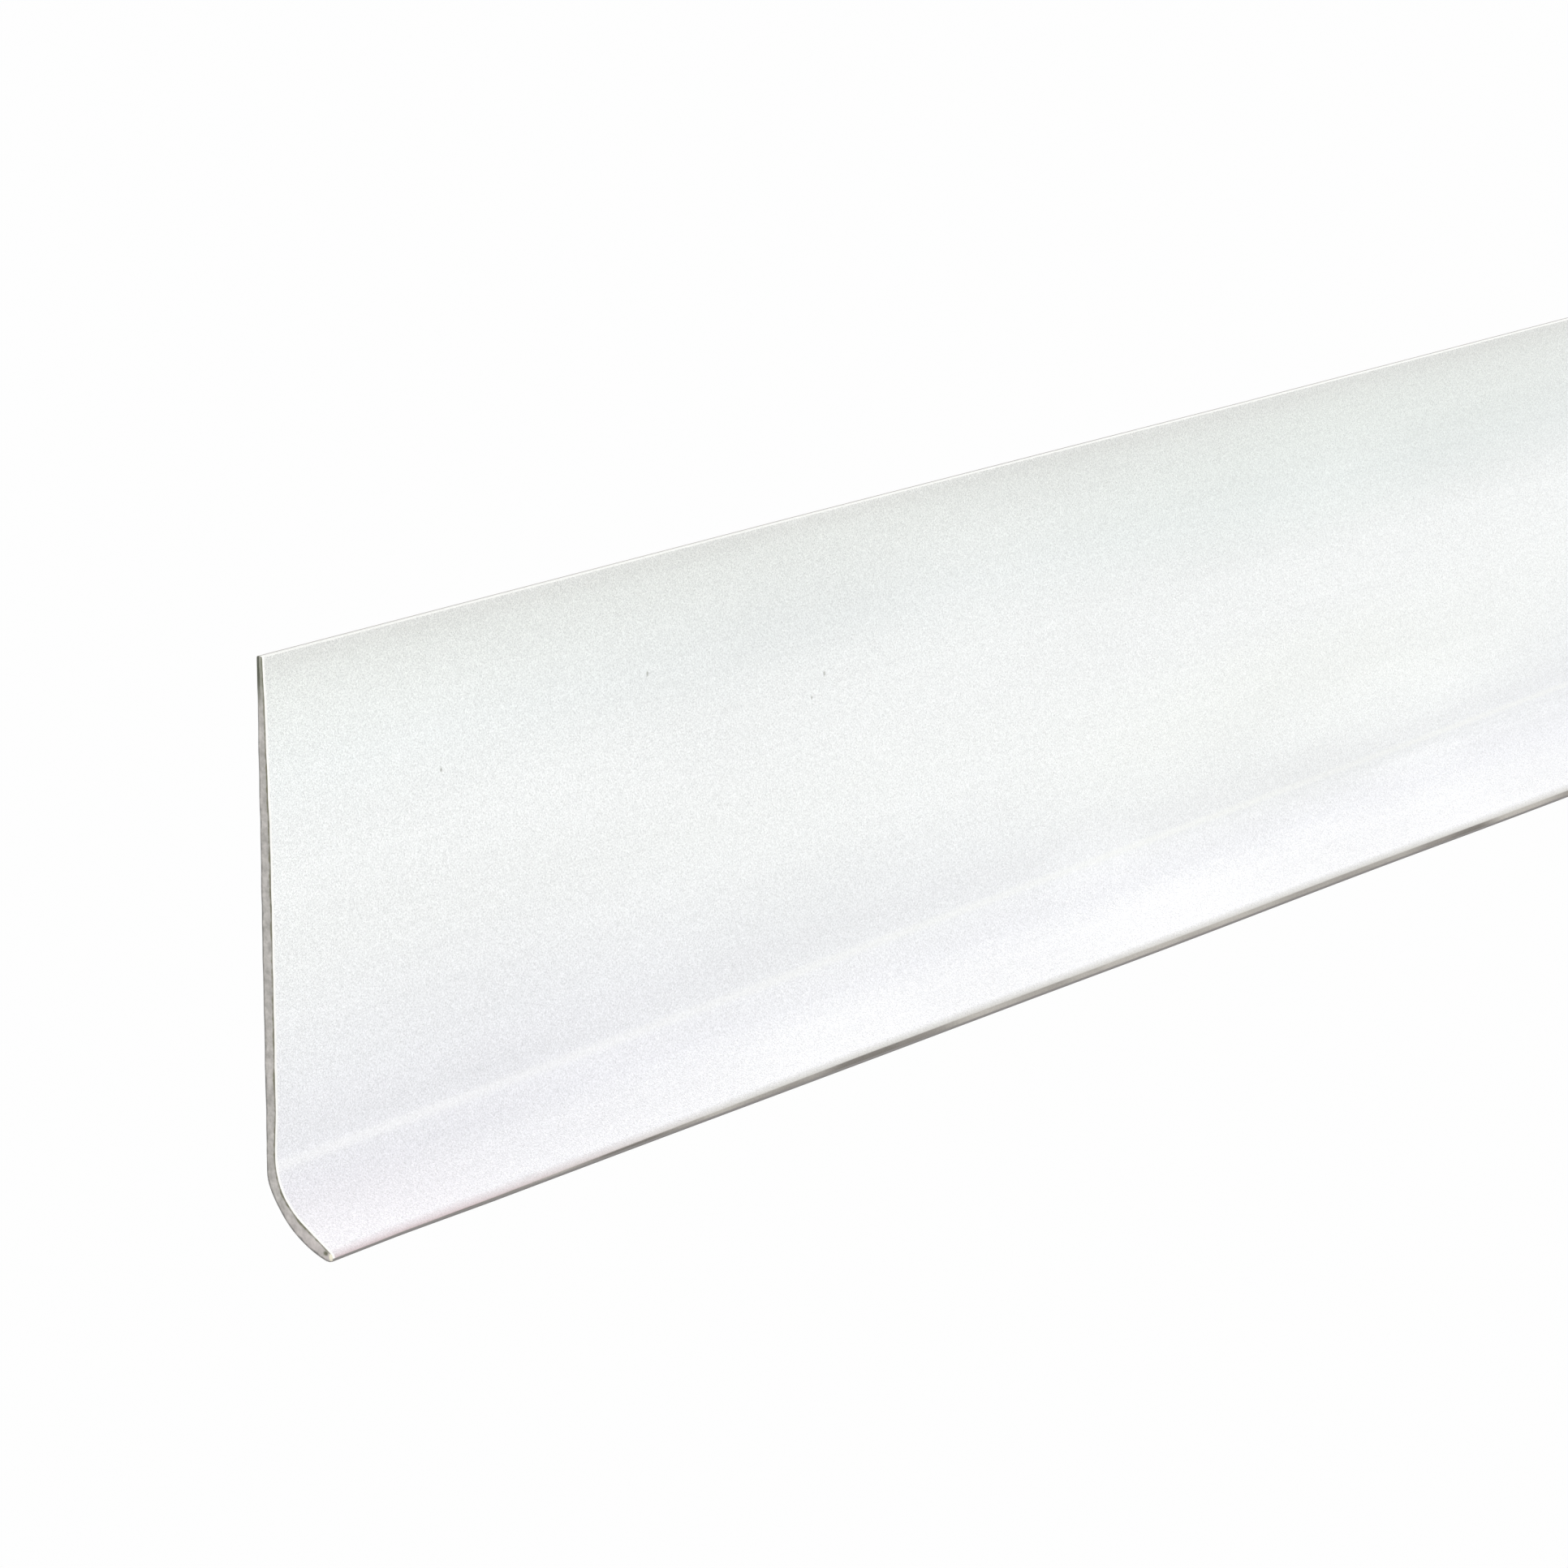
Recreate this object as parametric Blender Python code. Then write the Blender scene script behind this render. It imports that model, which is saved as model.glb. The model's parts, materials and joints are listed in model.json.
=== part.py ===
"""Vinyl door sweep strip: a flat stick-on web with a flexible lip that curves out along its foot.

Frame: +X runs along the strip, -Y is the visible front, +Z is up. The origin lies on the outermost
back face, in the middle of the upper release liner. All lengths are in metres, all angles in degrees.
"""

import math

import bpy
from mathutils import Vector

# Vinyl strip as a whole
STRIP_LENGTH = 0.9144
STRIP_HEIGHT = 0.1016

# Web, the flat upper part
WEB_THICKNESS = 0.0022
TOP_EDGE_THICKNESS = 0.0012
FEATHER_HEIGHT = 0.045
TOP_CORNER_RADIUS = 0.0003
NECK_THICKNESS = 0.0019
NECK_TAPER_HEIGHT = 0.009

# Flex line, where the web ends and the lip bends
FLEX_LINE_HEIGHT = 0.018
FLEX_CLEARANCE = 0.0003

# Lip, the curved lower part; its angles are counted from upright
LIP_BEND_RADIUS = 0.006
LIP_BEND_ANGLE = 21.2
LIP_BACK_RADIUS = 0.0187
LIP_BACK_ANGLE = 75.3
LIP_FRONT_RADIUS = 0.0125
TOE_FACE_ANGLE = 56.0
TIP_HEIGHT = 0.001
TIP_FOOT_REACH = 0.001
TIP_FOOT_RISE = 0.0003
TIP_FRONT_RADIUS = 0.0008
TIP_FOOT_RADIUS = 0.0003

# Foam tapes and their release liners, on the back of the web
TAPE_WIDTH = 0.019
TAPE_THICKNESS = 0.0008
TAPE_END_MARGIN = 0.003
TAPE_TOP_MARGIN = 0.006
TAPE_FLEX_MARGIN = 0.008
LINER_THICKNESS = 0.0001
BOND_GAP = 0.0003

# Smoothness of the curved stretches
FLEX_ARC_STEPS = 10
FEATHER_STEPS = 6
BEND_STEPS = 5
LIP_ARC_STEPS = 16
CORNER_STEPS = 4

# Places that follow from the sizes
WEB_HEIGHT = STRIP_HEIGHT - FLEX_LINE_HEIGHT
TAPE_LENGTH = STRIP_LENGTH - 2 * TAPE_END_MARGIN
LINER_Y = -LINER_THICKNESS / 2
TAPE_Y = -LINER_THICKNESS - BOND_GAP - TAPE_THICKNESS / 2
WEB_BACK_Y = TAPE_Y - TAPE_THICKNESS / 2 - BOND_GAP
STRIP_TOP_Z = TAPE_WIDTH / 2 + TAPE_TOP_MARGIN
FLEX_LINE_Z = STRIP_TOP_Z - WEB_HEIGHT
UPPER_TAPE_Z = STRIP_TOP_Z - TAPE_TOP_MARGIN - TAPE_WIDTH / 2
LOWER_TAPE_Z = FLEX_LINE_Z + TAPE_FLEX_MARGIN + TAPE_WIDTH / 2


def clear_scene():
    for obj in list(bpy.data.objects):
        bpy.data.objects.remove(obj, do_unlink=True)


def make_collection(name):
    collection = bpy.data.collections.new(name)
    bpy.context.scene.collection.children.link(collection)
    return collection


def make_material(name, colour, roughness, metallic=0.0):
    material = bpy.data.materials.new(name)
    material.use_nodes = True
    material.diffuse_color = (*colour, 1.0)
    shader = material.node_tree.nodes["Principled BSDF"]
    shader.inputs["Base Color"].default_value = (*colour, 1.0)
    shader.inputs["Roughness"].default_value = roughness
    shader.inputs["Metallic"].default_value = metallic
    return material


def make_empty(name, collection, location, parent=None):
    """An empty that carries pieces; its location is relative to its parent."""
    empty = bpy.data.objects.new(name, None)
    empty.empty_display_size = 0.02
    empty.location = location
    empty.parent = parent
    collection.objects.link(empty)
    return empty


def arc(centre, radius, start, end, steps):
    """Points on a circle from one angle to another, counted from +Y towards +Z."""
    angles = [math.radians(start + (end - start) * i / steps) for i in range(steps + 1)]
    return [centre + radius * Vector((math.cos(a), math.sin(a))) for a in angles]


def rounded_corner(before, corner, after, radius):
    """The arc that replaces a corner, from the side of before to the side of after."""
    arm_in = (before - corner).normalized()
    arm_out = (after - corner).normalized()
    half_angle = arm_in.angle(arm_out) / 2
    centre = corner + (arm_in + arm_out).normalized() * radius / math.sin(half_angle)
    trim = radius / math.tan(half_angle)
    start = corner + arm_in * trim - centre
    end = corner + arm_out * trim - centre
    turn = end.angle_signed(start)
    first = math.atan2(start.y, start.x)
    return arc(centre, radius, math.degrees(first), math.degrees(first + turn), CORNER_STEPS)


def web_outline():
    """Section of the web, as (y, z) from the back face at the flex line.

    Its foot is a hollow round that the lip's root turns in, and its front face feathers
    away towards the top edge.
    """
    cup_radius = NECK_THICKNESS / 2 + FLEX_CLEARANCE
    cup_start = math.degrees(math.acos(NECK_THICKNESS / 2 / cup_radius))
    cup_centre = Vector((-NECK_THICKNESS / 2, 0))
    cup = arc(cup_centre, cup_radius, cup_start, 180 - cup_start, FLEX_ARC_STEPS)

    front = [Vector((-WEB_THICKNESS, NECK_TAPER_HEIGHT))]
    for i in range(FEATHER_STEPS):
        depth = FEATHER_HEIGHT * (1 - i / FEATHER_STEPS)
        fullness = math.sin(math.pi / 2 * depth / FEATHER_HEIGHT)
        thickness = TOP_EDGE_THICKNESS + (WEB_THICKNESS - TOP_EDGE_THICKNESS) * fullness
        front.append(Vector((-thickness, WEB_HEIGHT - depth)))

    top_front = Vector((-TOP_EDGE_THICKNESS, WEB_HEIGHT))
    top_back = Vector((0, WEB_HEIGHT))
    top = rounded_corner(front[-1], top_front, top_back, TOP_CORNER_RADIUS)
    top += rounded_corner(top_front, top_back, cup[0], TOP_CORNER_RADIUS)
    return cup + front + top


def lip_back():
    """The back of the lip, down to the tip: a tight bend that runs on into a wide arc."""
    bend_drop = LIP_BEND_RADIUS * math.sin(math.radians(LIP_BEND_ANGLE))
    sines = math.sin(math.radians(LIP_BACK_ANGLE)) - math.sin(math.radians(LIP_BEND_ANGLE))
    start_z = bend_drop + LIP_BACK_RADIUS * sines - FLEX_LINE_HEIGHT
    bend_centre = Vector((NECK_THICKNESS / 2 - LIP_BEND_RADIUS, start_z))
    bend = arc(bend_centre, LIP_BEND_RADIUS, 0, -LIP_BEND_ANGLE, BEND_STEPS)
    inwards = (bend_centre - bend[-1]).normalized()
    back_centre = bend[-1] + LIP_BACK_RADIUS * inwards
    back = arc(back_centre, LIP_BACK_RADIUS, -LIP_BEND_ANGLE, -LIP_BACK_ANGLE, LIP_ARC_STEPS)
    return bend[:-1] + back


def lip_front(tip_front):
    """The front of the lip, down to the tip: an arc that runs on into the straight toe."""
    angle = math.radians(TOE_FACE_ANGLE)
    arc_reach = LIP_FRONT_RADIUS * (1 - math.cos(angle))
    toe_reach = -NECK_THICKNESS / 2 - tip_front.x - arc_reach
    toe_start = tip_front + toe_reach * Vector((1, 1 / math.tan(angle)))
    centre = toe_start + LIP_FRONT_RADIUS * Vector((-math.cos(angle), math.sin(angle)))
    return arc(centre, LIP_FRONT_RADIUS, 0, -TOE_FACE_ANGLE, LIP_ARC_STEPS)


def lip_outline():
    """Section of the lip, as (y, z) from the hinge axis in the middle of the neck.

    The root is a half round that turns in the web's foot. The tip is blunt: a short upright
    face between the toe and a narrow foot that rises forward from the end of the back.
    """
    root = arc(Vector((0, 0)), NECK_THICKNESS / 2, 0, 180, FLEX_ARC_STEPS)
    back = lip_back()
    tip_foot = back[-1] + Vector((-TIP_FOOT_REACH, TIP_FOOT_RISE))
    tip_front = tip_foot + Vector((0, TIP_HEIGHT))
    front = lip_front(tip_front)
    tip = rounded_corner(front[-1], tip_front, tip_foot, TIP_FRONT_RADIUS)
    tip += rounded_corner(tip_front, tip_foot, back[-1], TIP_FOOT_RADIUS)
    return root + front + tip + back[::-1]


def extrude_outline(name, outline, material, collection, parent):
    """A solid with the outline as its section, centred on its parent, as long as the strip."""
    curve = bpy.data.curves.new(name, "CURVE")
    curve.dimensions = "2D"
    curve.fill_mode = "BOTH"
    curve.extrude = STRIP_LENGTH / 2
    spline = curve.splines.new("POLY")
    spline.points.add(len(outline) - 1)
    for point, place in zip(spline.points, outline):
        point.co = (place.x, place.y, 0, 1)
    spline.use_cyclic_u = True
    curve.materials.append(material)
    piece = bpy.data.objects.new(name, curve)
    piece.rotation_euler = (math.radians(90), 0, math.radians(90))
    piece.parent = parent
    collection.objects.link(piece)
    return piece


def add_band(name, thickness, material, collection, parent):
    """A flat band along the back, centred on its parent."""
    bpy.ops.mesh.primitive_cube_add(size=1)
    band = bpy.context.active_object
    band.name = name
    band.data.name = name
    band.scale = (TAPE_LENGTH, thickness, TAPE_WIDTH)
    bpy.ops.object.transform_apply(location=False, rotation=False, scale=True)
    band.data.materials.append(material)
    band.parent = parent
    for holder in list(band.users_collection):
        holder.objects.unlink(band)
    collection.objects.link(band)
    return band


def build():
    clear_scene()
    pieces = make_collection("door_sweep")
    web_vinyl = make_material("web_vinyl", (0.86, 0.87, 0.86), 0.42)
    lip_vinyl = make_material("lip_vinyl", (0.88, 0.88, 0.89), 0.46)
    foam = make_material("tape_foam", (0.80, 0.80, 0.78), 0.85)
    liner_paper = make_material("liner_paper", (0.83, 0.76, 0.58), 0.35)

    strip = make_empty("strip_frame", pieces, (0, 0, 0))
    web_foot = make_empty("web_foot", pieces, (0, WEB_BACK_Y, FLEX_LINE_Z), strip)
    flex_axis = make_empty("flex_axis", pieces, (0, -NECK_THICKNESS / 2, 0), web_foot)
    extrude_outline("carrier_web", web_outline(), web_vinyl, pieces, web_foot)
    extrude_outline("sweep_lip", lip_outline(), lip_vinyl, pieces, flex_axis)

    for side, height in (("upper", UPPER_TAPE_Z), ("lower", LOWER_TAPE_Z)):
        tape_frame = make_empty(f"{side}_tape_frame", pieces, (0, TAPE_Y, height), strip)
        liner_frame = make_empty(f"{side}_liner_frame", pieces, (0, LINER_Y, height), strip)
        add_band(f"adhesive_tape_{side}", TAPE_THICKNESS, foam, pieces, tape_frame)
        add_band(f"release_liner_{side}", LINER_THICKNESS, liner_paper, pieces, liner_frame)


build()
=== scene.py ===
"""Looks of the vinyl door sweep: one white vinyl strip, two foam tapes and their paper liners."""

import json
import math

import bmesh
import bpy
from mathutils import Matrix, Vector, noise
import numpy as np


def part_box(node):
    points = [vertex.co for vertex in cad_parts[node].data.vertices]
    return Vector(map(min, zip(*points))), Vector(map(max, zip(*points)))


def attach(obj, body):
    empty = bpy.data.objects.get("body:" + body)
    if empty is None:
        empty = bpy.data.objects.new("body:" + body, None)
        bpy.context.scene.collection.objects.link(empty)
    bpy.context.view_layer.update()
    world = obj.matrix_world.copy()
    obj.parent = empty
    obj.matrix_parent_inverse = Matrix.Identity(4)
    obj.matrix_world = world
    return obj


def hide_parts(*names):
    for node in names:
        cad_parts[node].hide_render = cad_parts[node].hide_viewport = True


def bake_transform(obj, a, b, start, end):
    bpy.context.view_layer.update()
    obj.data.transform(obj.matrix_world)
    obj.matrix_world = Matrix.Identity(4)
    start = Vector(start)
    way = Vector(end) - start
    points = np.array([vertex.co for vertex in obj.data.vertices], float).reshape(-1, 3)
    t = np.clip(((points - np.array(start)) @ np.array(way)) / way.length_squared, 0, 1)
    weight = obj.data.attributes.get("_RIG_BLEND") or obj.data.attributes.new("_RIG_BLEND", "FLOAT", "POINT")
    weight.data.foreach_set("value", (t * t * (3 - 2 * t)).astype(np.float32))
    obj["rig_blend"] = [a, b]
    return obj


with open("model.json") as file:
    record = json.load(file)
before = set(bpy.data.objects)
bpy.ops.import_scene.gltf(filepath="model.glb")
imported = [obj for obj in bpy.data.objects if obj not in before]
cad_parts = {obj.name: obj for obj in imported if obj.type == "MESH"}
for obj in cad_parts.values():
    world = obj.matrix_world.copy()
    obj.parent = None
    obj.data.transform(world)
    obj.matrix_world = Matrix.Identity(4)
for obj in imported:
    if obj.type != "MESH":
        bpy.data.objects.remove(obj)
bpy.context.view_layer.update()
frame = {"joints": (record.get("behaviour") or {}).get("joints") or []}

MM = 0.001

# ---------------------------------------------------------------- places that the frame gives

web_low, web_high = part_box("carrier_web")
lip_low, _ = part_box("sweep_lip")
hinge = Vector(next(j["pos_m"] for j in frame["joints"] if j["name"] == "lip_flex"))

LEFT_END = web_low.x
RIGHT_END = web_high.x
STRIP_LENGTH = RIGHT_END - LEFT_END
BACK_Y = web_high.y
TOP_Z = web_high.z
FLEX_Z = hinge.z
TOE_Z = lip_low.z
WEB_THICKNESS = web_high.y - web_low.y
NECK_THICKNESS = 2 * (BACK_Y - hinge.y)

# ---------------------------------------------------------------- section of the vinyl strip

TOP_EDGE_THICKNESS = 1.2 * MM
FEATHER_HEIGHT = 45 * MM
NECK_TAPER_HEIGHT = 9 * MM
CREASE_LEFT_HEIGHT = 14.5 * MM
CREASE_RIGHT_HEIGHT = 20.0 * MM
CREASE_DRIFT_LENGTH = 430 * MM

LIP_BEND_RADIUS = 6 * MM
LIP_BEND_ANGLE = 21.2
LIP_BACK_RADIUS = 18.7 * MM
LIP_BACK_ANGLE = 75.3
LIP_FRONT_RADIUS = 12.5 * MM
TOE_FACE_ANGLE = 56.0
TIP_HEIGHT = 1.0 * MM
TIP_FOOT_REACH = 1.0 * MM
TIP_FOOT_RISE = 0.3 * MM
BEND_STEPS = 8
SWEEP_STEPS = 24

TOP_CORNER_TRIM = 0.3 * MM
TIP_FRONT_TRIM = 0.43 * MM
TIP_FOOT_TRIM = 0.23 * MM
CORNER_SEGMENTS = 4
CUT_EDGE_BEVEL = 0.16 * MM
CUT_EDGE_SEGMENTS = 3

WEB_STATIONS = 54
LIP_STATIONS = 34
LENGTH_CUTS = 279
TOP_ROW_DEPTH = 0.7 * MM
FLEX_BEND_HALF = 4 * MM
SHARP_ANGLE = 35
END_FACING = 0.6
BACK_SHARE = 0.45

# ---------------------------------------------------------------- unevenness of the vinyl strip

FRONT_RIPPLE = 0.10 * MM
FRONT_RIPPLE_SIZE = 45 * MM
FRONT_RIPPLE_FADE = 6 * MM
LIP_WAVE = 0.30 * MM
LIP_WAVE_SIZE = 50 * MM
TOE_WAVE = 0.16 * MM
TOE_WAVE_SIZE = 38 * MM
TOE_SAG = 0.22 * MM
TOE_SAG_LENGTH = 250 * MM
TOE_LIFT = 0.20 * MM
TOE_LIFT_PLACE = 18 * MM
TOE_LIFT_REACH = 24 * MM
TOP_SAG = 0.36 * MM
TOP_SAG_LENGTH = 150 * MM
CUT_WOBBLE = 0.12 * MM
CUT_WOBBLE_SIZE = 3.5 * MM

# ---------------------------------------------------------------- tapes and liners

FILM_THICKNESS = 0.09 * MM
FOAM_ROWS = 5
FOAM_SINK = 0.16 * MM
SLIT_GAP = 0.08 * MM
SLIT_WANDER = 0.07 * MM
SLIT_WANDER_LENGTH = 7 * MM
SLIT_WANDER_DEPTH = 0.6 * MM
ON_EDGE = 0.01 * MM
TAPE_ROWS = 8
TAPE_CUTS = 239
LINER_ROWS = 12
LINER_CUTS = 299
COCKLE_HEIGHT = 0.06 * MM
COCKLE_LENGTH = 14 * MM
COCKLE_WIDTH = 9 * MM
LINER_WANDER = 0.05 * MM
LINER_WANDER_LENGTH = 5 * MM
RELEASE_FACING = -0.7
LOOSE_CORNER_REACH = 16 * MM
LOOSE_CORNER_LIFT = 1.3 * MM

# ---------------------------------------------------------------- finish of the vinyl

NOISE_LOW = 0.3
NOISE_HIGH = 0.7
FRONT_CLOUD_SIZE = 46 * MM
FRONT_STREAK_WIDTH = 2.2 * MM
FRONT_PEEL_CELL = 0.30 * MM
# The crease's painted highlight: how far it reaches, and its colour.
CREASE_LEFT_REACH = 1.7 * MM
CREASE_RIGHT_REACH = 1.0 * MM
CREASE_FULL_REACH = 0.1 * MM
CREASE_HIGHLIGHT = (0.925, 0.93, 0.895, 1.0)
SPECK_SHARE = 0.6
SPECK_GREY = (0.22, 0.22, 0.18, 1.0)
FRONT_DUST = (0.40, 0.40, 0.36, 1.0)
SCUFF_SHARE = 0.22
SCUFF_GREY = (0.60, 0.60, 0.60, 1.0)

# Near the tip: a band of grey core, darker still as painted shade, and painted shade rising above it.
TRIM_LEFT_HEIGHT = 0.77 * MM
TRIM_HEIGHT = 1.55 * MM
TRIM_GROW_LENGTH = 150 * MM
TRIM_CLOUD_SIZE = 13 * MM
CORE_BAND_SHADE_DARK = (0.18, 0.165, 0.146, 1.0)
CORE_BAND_SHADE_LIGHT = (0.43, 0.405, 0.37, 1.0)
TRIM_ROUGHNESS = 0.75
TIP_SHADE_CHANGE_START = 35 * MM
TIP_SHADE_CHANGE_END = 110 * MM
TIP_SHADE_LEFT_REACH = 1.3 * MM
TIP_SHADE_REACH = 0.97 * MM
TIP_SHADE_LEFT_SHARE = 0.87
TIP_SHADE_SHARE = 0.77
TIP_SHADE_LEFT_TONE = (0.52, 0.40, 0.405, 1.0)
TIP_SHADE_TONE = (0.455, 0.435, 0.385, 1.0)
TOP_HIGHLIGHT_SHARE = 0.6
RIM_HIGHLIGHT = (0.97, 0.965, 0.93, 1.0)

STIFF_DARK = (0.35, 0.335, 0.312, 1.0)
STIFF_LIGHT = (0.565, 0.54, 0.51, 1.0)
SOFT_DARK = (0.45, 0.415, 0.395, 1.0)
SOFT_LIGHT = (0.62, 0.575, 0.55, 1.0)
SOFT_FROM_HEIGHT = 9 * MM
SOFT_FULL_HEIGHT = 3 * MM
MOTTLE_SIZE = 1.4 * MM
RAGGED_SIZE = 1.6 * MM
KNIFE_LINE_SIZE = 0.22 * MM
JOINT_DARK = (0.19, 0.185, 0.13, 1.0)
CUT_BACK_DARK = (0.12, 0.12, 0.115, 1.0)
TOP_DARKENING_FROM_DEPTH = 10 * MM
TOP_DARKENING_FULL_DEPTH = 3 * MM
TOP_DARKENING_SHARE = 0.6
TOP_DARKENING_TONE = (0.185, 0.20, 0.13, 1.0)
TOP_BACK_DARKEST = (0.075, 0.08, 0.055, 1.0)

BACK_CLOUD_SIZE = 60 * MM
BACK_STREAK_WIDTH = 0.9 * MM
BACK_PEEL_CELL = 0.55 * MM
BACK_DARK = (0.44, 0.42, 0.41, 1.0)
BACK_LIGHT = (0.56, 0.54, 0.52, 1.0)
BACK_DUST = (0.78, 0.77, 0.74, 1.0)
BACK_GRIME = (0.17, 0.16, 0.15, 1.0)

# ---------------------------------------------------------------- finish of the tapes and liners

FOAM_CELL = 0.24 * MM
FOAM_PATCH_SIZE = 9 * MM
FOAM_PORE = (0.42, 0.41, 0.38, 1.0)
FOAM_WHITE = (0.82, 0.81, 0.78, 1.0)
DIMPLE_SIZE = 1.1 * MM
ADHESIVE_PATCH_SIZE = 12 * MM
ADHESIVE_DARK = (0.74, 0.71, 0.60, 1.0)
ADHESIVE_LIGHT = (0.83, 0.81, 0.73, 1.0)
ADHESIVE_DUST = (0.45, 0.43, 0.36, 1.0)
FIBRE_SIZE = 0.45 * MM
PAPER_PATCH_SIZE = 16 * MM
CALENDER_BAR_SIZE = 5 * MM
PAPER_DUST = (0.34, 0.29, 0.20, 1.0)

# ---------------------------------------------------------------- stage, lights and camera

FLOOR_SIZE = 60
FLOOR_DROP = 6 * MM
FLOOR_GREY = (0.55, 0.55, 0.56, 1.0)
FLOOR_ROUGHNESS = 0.9
STAGE_WHITE = (0.99, 0.99, 0.99, 1.0)
ROOM_STRENGTH = 0.55
LIGHT_TARGET = Vector((-0.2, 0.0, -0.03))
LIGHT_SIZE = 1.8
LIGHT_DISTANCE = 2.4
SOFT_BOXES = {
    "front_box": ((0.1, -1.0, 0.12), 43),
    "right_box": ((0.9, -0.1, 0.6), 15),
    "left_box": ((-0.8, -0.3, 0.8), 5),
    "back_box": ((-0.75, 0.6, 0.4), 30),
    "top_box": ((0.0, -0.1, 1.0), 3),
}
CAMERA_PLACE = Vector((-1.2339, -0.6808, 0.2373))
CAMERA_FORWARD = Vector((0.78356, 0.57700, -0.23044))
CAMERA_ROLL = -0.06
LENS = 147.37


# ---------------------------------------------------------------- node helpers


def add_node(tree, kind, **settings):
    node = tree.nodes.new(kind)
    for name, value in settings.items():
        setattr(node, name, value)
    return node


def feed(tree, node, socket, source):
    """Gives a node's input a plain value, or links it to another node's output."""
    if isinstance(source, bpy.types.NodeSocket):
        tree.links.new(source, node.inputs[socket])
    else:
        node.inputs[socket].default_value = source


def maths(tree, operation, first, second=0.0):
    """One sum of two values, each a number or a socket."""
    node = add_node(tree, "ShaderNodeMath", operation=operation)
    feed(tree, node, 0, first)
    feed(tree, node, 1, second)
    return node.outputs[0]


def scaled_place(tree, place, scale):
    """A place drawn out or squeezed along each axis."""
    node = add_node(tree, "ShaderNodeVectorMath", operation="MULTIPLY")
    feed(tree, node, 0, place)
    feed(tree, node, 1, scale)
    return node.outputs[0]


def noise_value(tree, place, scale, detail=2.0, roughness=0.5):
    node = add_node(tree, "ShaderNodeTexNoise")
    feed(tree, node, "Vector", place)
    feed(tree, node, "Scale", scale)
    node.inputs["Detail"].default_value = detail
    node.inputs["Roughness"].default_value = roughness
    return node.outputs["Fac"]


def remap(tree, value, low, high, to_low=0.0, to_high=1.0, smooth=False):
    """A value's span from low to high, mapped to another span and held at its ends."""
    node = add_node(tree, "ShaderNodeMapRange")
    node.interpolation_type = "SMOOTHSTEP" if smooth else "LINEAR"
    feed(tree, node, 0, value)
    for socket, number in enumerate((low, high, to_low, to_high), start=1):
        feed(tree, node, socket, number)
    return node.outputs[0]


def swing(tree, value, low, high):
    """The usual span of a noise, stretched to run from one number to another."""
    return remap(tree, value, NOISE_LOW, NOISE_HIGH, low, high)


def mix_colour(tree, share, first, second, blend="MIX"):
    """Two colours mixed. The Mix node takes colours at its sockets 6 and 7, and gives one at 2."""
    node = add_node(tree, "ShaderNodeMix", data_type="RGBA", blend_type=blend)
    feed(tree, node, 0, share)
    feed(tree, node, 6, first)
    feed(tree, node, 7, second)
    return node.outputs[2]


def new_group(name, inputs, output):
    """An empty node group with named inputs (name, socket type, default) and one output."""
    group = bpy.data.node_groups.new(name, "ShaderNodeTree")
    for label, kind, default in inputs:
        socket = group.interface.new_socket(label, in_out="INPUT", socket_type=kind)
        if default is not None:
            socket.default_value = default
    group.interface.new_socket(output, in_out="OUTPUT", socket_type="NodeSocketFloat")
    return group, add_node(group, "NodeGroupInput"), add_node(group, "NodeGroupOutput")


def use_group(tree, group, **values):
    node = add_node(tree, "ShaderNodeGroup", node_tree=group)
    for name, value in values.items():
        feed(tree, node, name, value)
    return node.outputs[0]


# ---------------------------------------------------------------- shared surface effects


def make_orange_peel():
    """Fine pebbled skin of calendered vinyl: rounded cells with a smaller grain on them."""
    inputs = [("Place", "NodeSocketVector", None), ("Cell", "NodeSocketFloat", 0.5 * MM)]
    group, given, result = new_group("orange_peel", inputs, "Height")
    turned = add_node(group, "ShaderNodeMapping")
    feed(group, turned, "Vector", given.outputs["Place"])
    turned.inputs["Rotation"].default_value = (0.6, 0.5, 0.9)
    place = turned.outputs[0]
    scale = maths(group, "DIVIDE", 1.0, given.outputs["Cell"])
    coarse = noise_value(group, place, scale, detail=1.0)
    finer = noise_value(group, place, maths(group, "MULTIPLY", scale, 2.3), detail=0.0)
    feed(group, result, 0, maths(group, "MULTIPLY", maths(group, "ADD", coarse, finer), 0.5))
    return group


def make_streaks():
    """Faint flow lines that run along the strip, long one way and narrow the other."""
    inputs = [("Place", "NodeSocketVector", None), ("Width", "NodeSocketFloat", 1.5 * MM)]
    group, given, result = new_group("flow_streaks", inputs, "Value")
    drawn = scaled_place(group, given.outputs["Place"], (0.006, 1.0, 1.0))
    scale = maths(group, "DIVIDE", 1.0, given.outputs["Width"])
    feed(group, result, 0, noise_value(group, drawn, scale, detail=3.0, roughness=0.6))
    return group


def make_clouds():
    """Broad soft patches of tone, longer along the strip than across it."""
    inputs = [("Place", "NodeSocketVector", None), ("Size", "NodeSocketFloat", 50 * MM)]
    group, given, result = new_group("cloudy_tone", inputs, "Value")
    drawn = scaled_place(group, given.outputs["Place"], (0.45, 1.0, 1.0))
    scale = maths(group, "DIVIDE", 1.0, given.outputs["Size"])
    feed(group, result, 0, noise_value(group, drawn, scale, detail=1.5, roughness=0.4))
    return group


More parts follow.
